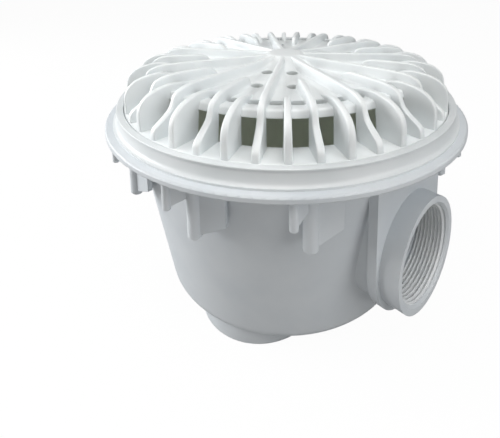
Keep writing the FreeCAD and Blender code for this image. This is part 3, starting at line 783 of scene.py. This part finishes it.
@dataclass
class FrameRing:
    """The frame ring: shelf for the cover, raised lip and a skirt that flares to its foot.

    Sizes are millimetres; heights count from the flange's top.
    """

    bore: float = 102.0
    foot: float = 119.1
    toe: float = 1.2
    lip: float = 116.9
    lip_bore: float = 112.4
    lip_rise: float = 9.8
    lip_depth: float = 1.1
    undercut: float = 0.5
    shelf: float = 3.0
    screws: int = FRAME_SCREWS
    screw_start: float = 25.6
    screw_pitch: float = 360 / 11
    screw_circle: float = 108.6
    hole: float = 2.58
    sink: float = 4.38
    sink_depth: float = 2.2
    seat_circle: float = COVER_SCREW_CIRCLE
    seat_start: float = COVER_SCREW_START
    seat: float = 3.0
    seat_depth: float = 2.6
    finish: Finish = RING_ABS

    def outline(self) -> Array:
        """Section of the ring: under the lip the skirt stands back, then flares to the foot.

        The skirt's distance past its waist is a slow and a steep power of the height that is left.

        Returns:
            Radius and height of each point.
        """
        left = np.linspace(1, 0, 22)
        drop = self.lip_rise - self.lip_depth - self.toe
        waist = self.lip - self.undercut
        flare = 0.9 * left ** 1.5 + (self.foot - waist - 0.9) * left ** 12
        skirt = np.stack([waist + flare, self.toe + drop * (1 - left)], 1)
        line = rounded([
            (self.bore, 0.0, 0),
            (self.foot, 0.0, 0),
            *[(r, z, 0) for r, z in skirt.tolist()],
            (self.lip, float(skirt[-1, 1]), 0.2),
            (self.lip, self.lip_rise, 0.4),
            (self.lip_bore, self.lip_rise, 0.6),
            (self.lip_bore, self.shelf, 0),
            (self.bore, self.shelf, 0.5),
        ])
        line[:, 1] += FLANGE_TOP
        return line

    def cutters(self) -> tuple[Array, list]:
        """Turned tools for the countersunk holes and the two insert seats.

        Returns:
            Points and faces of all tools.
        """
        count = 32
        angle = np.linspace(0, 2 * np.pi, count, endpoint=False)
        top = FLANGE_TOP + self.shelf
        sunk_hole = [
            (self.hole, FLANGE_TOP - 1.0), (self.hole, top - self.sink_depth),
            (self.sink, top), (self.sink, top + 1.0),
        ]
        seat = [(self.seat, top - self.seat_depth), (self.seat, top + 1.0)]
        tools = (
            (self.screw_circle, self.screw_start, self.screws, self.screw_pitch, sunk_hole),
            (self.seat_circle, self.seat_start, 2, 180.0, seat),
        )
        points, faces, base = [], [], 0
        for circle, start, copies, pitch, rings in tools:
            radius = np.array([r for r, _ in rings])[:, None]
            height = np.array([z for _, z in rings])[:, None]
            tool = np.stack(np.broadcast_arrays(
                circle + radius * np.cos(angle), radius * np.sin(angle), height
            ), -1).reshape(-1, 3)
            solid = grid_faces(len(rings), count, False, True).tolist()
            solid += [list(range(count))[::-1], list(range(len(tool) - count, len(tool)))]
            points.append(turned_about_axis(tool, start + pitch * np.arange(copies)))
            faces += [[k + base for k in f] for f in repeated_faces(solid, len(tool), copies)]
            base += len(tool) * copies
        return np.concatenate(points), faces

    def build(self) -> bpy.types.Object:
        """Build the ring in place of its solid.

        Returns:
            The ring.
        """
        ring = make_piece("frame_ring_moulding", *lathe(self.outline(), ROUND_STEPS), self.finish)
        tool = make_piece("ring_cutters_work", *self.cutters(), self.finish)
        apply_cut(ring, tool)
        finish_mesh(ring, self.finish)
        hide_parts("frame_ring")
        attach(ring, "root")
        LOG.info("frame ring: %d faces", len(ring.data.polygons))
        return ring


@dataclass
class PipeThread:
    """An internal pipe thread: a helical ridge on the wall of a bore.

    Sizes are millimetres. The ridge's height over one turn is a rounded triangle, so
    the bore's radius is wall - depth * ridge(turn), with turn = along / pitch - a / 2 pi.
    The ridge fades in past the lead and fades out before the sleeve's inner end.
    """

    name: str
    mouth: tuple[float, float, float]
    outward: tuple[float, float, float]
    wall: float = 28.6
    depth: float = 1.35
    pitch: float = 2.209
    lead: float = 1.6
    length: float = 19.8
    proud: float = 0.05
    sleeve: float = 0.8
    fade_in: float = 2.0
    fade_out: float = 0.6
    finish: Finish = THREAD_ABS

    def build(self) -> bpy.types.Object:
        """Build the threaded sleeve that lines the bore.

        Returns:
            The thread as an object.
        """
        turns, along_count = 160, 132
        angle = np.linspace(0, 2 * np.pi, turns, endpoint=False)[:, None]
        along = np.linspace(self.lead, self.length, along_count)[None, :]
        phase = (along / self.pitch - angle / (2 * np.pi)) % 1.0
        ridge = np.clip(1.25 - 2.5 * np.abs(phase - 0.5), 0, 1) ** 0.9
        fade = np.clip((along - self.lead) / self.fade_in, 0, 1)
        fade = fade * np.clip((self.length - along) / self.fade_out, 0, 1)
        radius = self.wall + self.proud - (self.depth + self.proud) * ridge * fade
        back = np.full((turns, 1), self.wall + self.sleeve)
        radius = np.concatenate([back, radius, back], 1)
        depth = np.broadcast_to(
            np.concatenate([[[self.lead]], along, [[self.length]]], 1), radius.shape
        )
        out = Vector(self.outward).normalized()
        side = Vector((0, 0, 1)).cross(out) if abs(out.z) < 0.9 else Vector((1, 0, 0))
        side.normalize()
        other = out.cross(side)
        axis, first, second = (np.array(v) for v in (out, side, other))
        ring = np.cos(angle)[..., None] * first + np.sin(angle)[..., None] * second
        around = radius[..., None] * ring
        points = np.array(self.mouth) + around - depth[..., None] * axis
        faces = grid_faces(turns, radius.shape[1], True, True).tolist()
        thread = make_piece(self.name, points.reshape(-1, 3), faces, self.finish, 50.0)
        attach(thread, "root")
        LOG.info("%s: %d faces", self.name, len(faces))
        return thread


@dataclass
class CoverScrew:
    """A pan head screw with a hexagon socket, standing on the cover's ledge.

    Sizes are millimetres. Each ring of points has a radius that may follow a hexagon:
    r = flat / cos(a mod 60 - 30). The head's shoulder is a quarter of an ellipse from
    the crown's radius to the head's.
    """

    node: str
    centre: tuple[float, float]
    seat: float = 134.0
    tip: float = 125.1
    shank: float = 2.0
    head: float = 3.9
    rise: float = 2.6
    socket: float = 1.35
    socket_depth: float = 1.5
    crown: float = 2.3
    shoulder: float = 1.5
    finish: Finish = STAINLESS

    def build(self) -> bpy.types.Object:
        """Build the screw in place of its solid.

        Returns:
            The screw.
        """
        count = 48
        angle = np.linspace(0, 2 * np.pi, count, endpoint=False)
        fold = np.mod(np.degrees(angle), 60.0) - 30.0
        hexagon = self.socket / np.cos(np.radians(fold))
        top = self.seat + self.rise
        dome = np.linspace(0, np.pi / 2, 7)
        rings = [
            (np.full(count, 1e-4), top - self.socket_depth - 0.3),
            (hexagon, top - self.socket_depth),
            (hexagon, top - 0.12),
            (hexagon + 0.12, top),
        ]
        rings += [
            (np.full(count, self.crown + (self.head - self.crown) * math.sin(a)),
             top - self.shoulder + self.shoulder * math.cos(a))
            for a in dome
        ]
        rings += [
            (np.full(count, self.head), self.seat + 0.15),
            (np.full(count, self.head - 0.15), self.seat),
            (np.full(count, self.shank), self.seat),
            (np.full(count, self.shank), self.tip + 0.5),
            (np.full(count, self.shank - 0.5), self.tip),
            (np.full(count, 1e-4), self.tip),
        ]
        radius = np.stack([r for r, _ in rings])
        height = np.array([h for _, h in rings])[:, None]
        points = np.stack(np.broadcast_arrays(
            self.centre[0] + radius * np.cos(angle),
            self.centre[1] + radius * np.sin(angle),
            height,
        ), -1).reshape(-1, 3)
        faces = grid_faces(len(rings), count, False, True).tolist()
        screw = make_piece(self.node + "_head", points, faces, self.finish, 30.0)
        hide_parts(self.node)
        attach(screw, "root")
        LOG.info("%s: %d faces", self.node, len(faces))
        return screw


@dataclass(frozen=True)
class Lamp:
    """A round soft lamp: name, place in metres, diameter, watts and colour."""

    name: str
    place: tuple[float, float, float]
    size: float
    power: float
    colour: tuple[float, float, float] = (1.0, 1.0, 1.0)

    def hang(self, target: Vector) -> None:
        """Hang the lamp, turned to a target.

        Args:
            target: point that the lamp faces.
        """
        light = bpy.data.lights.new(self.name, "AREA")
        light.shape, light.size = "DISK", self.size
        light.energy, light.color = self.power, self.colour
        holder = bpy.data.objects.new(self.name, light)
        holder.location = self.place
        holder.rotation_euler = (target - Vector(self.place)).to_track_quat("-Z", "Y").to_euler()
        bpy.context.scene.collection.objects.link(holder)


@dataclass
class Studio:
    """White floor and world, soft lamps and the camera at the photograph's angle.

    The camera's place is in millimetres and its angles are radians: heading about +Z
    from +X, dip below the level, and roll.
    """

    camera_at: tuple[float, float, float] = (204.577, -214.658, 234.767)
    heading: float = 2.3464
    dip: float = -0.1636
    roll: float = -0.0074
    lens: float = 30.104
    shift: tuple[float, float] = (-0.058, -0.40)
    ambient: float = 0.05
    lamps: list = field(default_factory=lambda: [
        Lamp("top", (0.0, 0.0, 1.25), 0.9, 4.2),
        Lamp("front_high", (0.32, -0.42, 1.15), 0.8, 4.5, (1.0, 0.97, 0.93)),
        Lamp("front", (0.75, -0.95, 0.35), 0.8, 1.1, (1.0, 0.96, 0.91)),
        Lamp("left", (-0.88, -0.72, 0.45), 0.8, 15.5),
        Lamp("right", (1.15, 0.10, 0.35), 0.6, 3.0),
        Lamp("right_high", (0.95, 0.25, 0.95), 0.7, 3.6),
    ])

    def white(self) -> bpy.types.Material:
        """Floor paint that the camera sees as white and that still takes a faint shadow.

        Returns:
            The material.
        """
        paint = bpy.data.materials.new("white_floor")
        paint.use_nodes = True
        tree = paint.node_tree
        tree.nodes.clear()
        bounce = add_node(tree, "ShaderNodeBsdfDiffuse", Color=(0.42, 0.42, 0.42, 1))
        seen = add_node(tree, "ShaderNodeBsdfDiffuse", Color=(0.9, 0.9, 0.9, 1))
        glow = add_node(tree, "ShaderNodeEmission", Color=(1, 1, 1, 1), Strength=1.0)
        white = tree.nodes.new("ShaderNodeMixShader")
        white.inputs[0].default_value = 0.97
        tree.links.new(seen.outputs[0], white.inputs[1])
        tree.links.new(glow.outputs[0], white.inputs[2])
        path = add_node(tree, "ShaderNodeLightPath")
        mix = tree.nodes.new("ShaderNodeMixShader")
        tree.links.new(path.outputs["Is Camera Ray"], mix.inputs[0])
        tree.links.new(bounce.outputs[0], mix.inputs[1])
        tree.links.new(white.outputs[0], mix.inputs[2])
        add_node(tree, "ShaderNodeOutputMaterial", {"Surface": mix.outputs[0]})
        return paint

    def floor(self) -> None:
        """Lay the floor under the object."""
        side, low = 6.0, -0.3 * MM
        mesh = bpy.data.meshes.new("floor")
        corners = [(-side, -side, low), (side, -side, low), (side, side, low), (-side, side, low)]
        mesh.from_pydata(corners, [], [(0, 1, 2, 3)])
        ground = bpy.data.objects.new("floor", mesh)
        mesh.materials.append(self.white())
        bpy.context.scene.collection.objects.link(ground)

    def world(self) -> None:
        """Even white surroundings: plain light on the object, white to the camera."""
        world = bpy.data.worlds.new("white_room")
        bpy.context.scene.world = world
        world.use_nodes = True
        tree = world.node_tree
        tree.nodes.clear()
        room = add_node(tree, "ShaderNodeBackground", Color=(1, 1, 1, 1), Strength=self.ambient)
        seen = add_node(tree, "ShaderNodeBackground", Color=(1, 1, 1, 1), Strength=1.0)
        path = add_node(tree, "ShaderNodeLightPath")
        mix = tree.nodes.new("ShaderNodeMixShader")
        tree.links.new(path.outputs["Is Camera Ray"], mix.inputs[0])
        tree.links.new(room.outputs[0], mix.inputs[1])
        tree.links.new(seen.outputs[0], mix.inputs[2])
        add_node(tree, "ShaderNodeOutputWorld", {"Surface": mix.outputs[0]})

    def light(self) -> None:
        """Hang the soft lamps, each turned to the middle of the object."""
        for lamp in self.lamps:
            lamp.hang(Vector((0, 0, 0.10)))

    def camera(self) -> None:
        """Set the camera where the photograph was taken from."""
        ahead = Vector((
            math.cos(self.dip) * math.cos(self.heading),
            math.cos(self.dip) * math.sin(self.heading),
            math.sin(self.dip),
        ))
        right = ahead.cross(Vector((0, 0, 1))).normalized()
        up = right.cross(ahead)
        cos, sin = math.cos(self.roll), math.sin(self.roll)
        right, up = cos * right + sin * up, -sin * right + cos * up
        lens = bpy.data.cameras.new("camera")
        lens.lens, lens.sensor_width = self.lens, 36.0
        lens.shift_x, lens.shift_y = self.shift
        lens.clip_start, lens.clip_end = 0.01, 20.0
        eye = bpy.data.objects.new("camera", lens)
        turn = Matrix((right, up, -ahead)).transposed().to_4x4()
        eye.matrix_world = Matrix.Translation(Vector(self.camera_at) * MM) @ turn
        bpy.context.scene.collection.objects.link(eye)
        bpy.context.scene.camera = eye

    def build(self) -> None:
        """Build floor, world, lamps and camera."""
        bpy.context.scene.view_settings.view_transform = "Standard"
        self.floor()
        self.world()
        self.light()
        self.camera()
        LOG.info("studio ready")


def on_circle(radius: float, angle: float) -> tuple[float, float]:
    """Point of a circle round the axis.

    Args:
        radius: of the circle.
        angle: degrees from +X.

    Returns:
        x and y.
    """
    turn = math.radians(angle)
    return radius * math.cos(turn), radius * math.sin(turn)


def dress_node(node: str, finish: Finish) -> None:
    """Give a solid that stays its finish, in its object's material slots.

    Args:
        node: name of the solid.
        finish: its surface.
    """
    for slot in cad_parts[node].material_slots:
        slot.material = finish.build()
    LOG.info("%s: %s", node, finish.name)


def main() -> None:
    """Build every piece in order, then the studio."""
    logging.basicConfig(level=logging.INFO, format="%(name)s: %(message)s")
    dress_node("sump", POT_ABS)
    dress_node("flange_gasket", EPDM)
    for number in range(1, FRAME_SCREWS + 1):
        dress_node("frame_screw_%02d" % number, STAINLESS)
    for number in (1, 2):
        dress_node("cover_insert_%d" % number, BRASS)
    FrameRing().build()
    Cover().build()
    PipeThread("side_port_thread", SIDE_PORT_MOUTH, (1, 0, 0)).build()
    under = on_circle(BOTTOM_PORT_CIRCLE, BOTTOM_PORT_ANGLE)
    PipeThread("bottom_port_thread", (*under, 0.0), (0, 0, -1)).build()
    for number in (1, 2):
        centre = on_circle(COVER_SCREW_CIRCLE, COVER_SCREW_START + 180 * (number - 1))
        CoverScrew("cover_screw_%d" % number, centre).build()
    Studio().build()


if __name__ == "__main__":
    main()
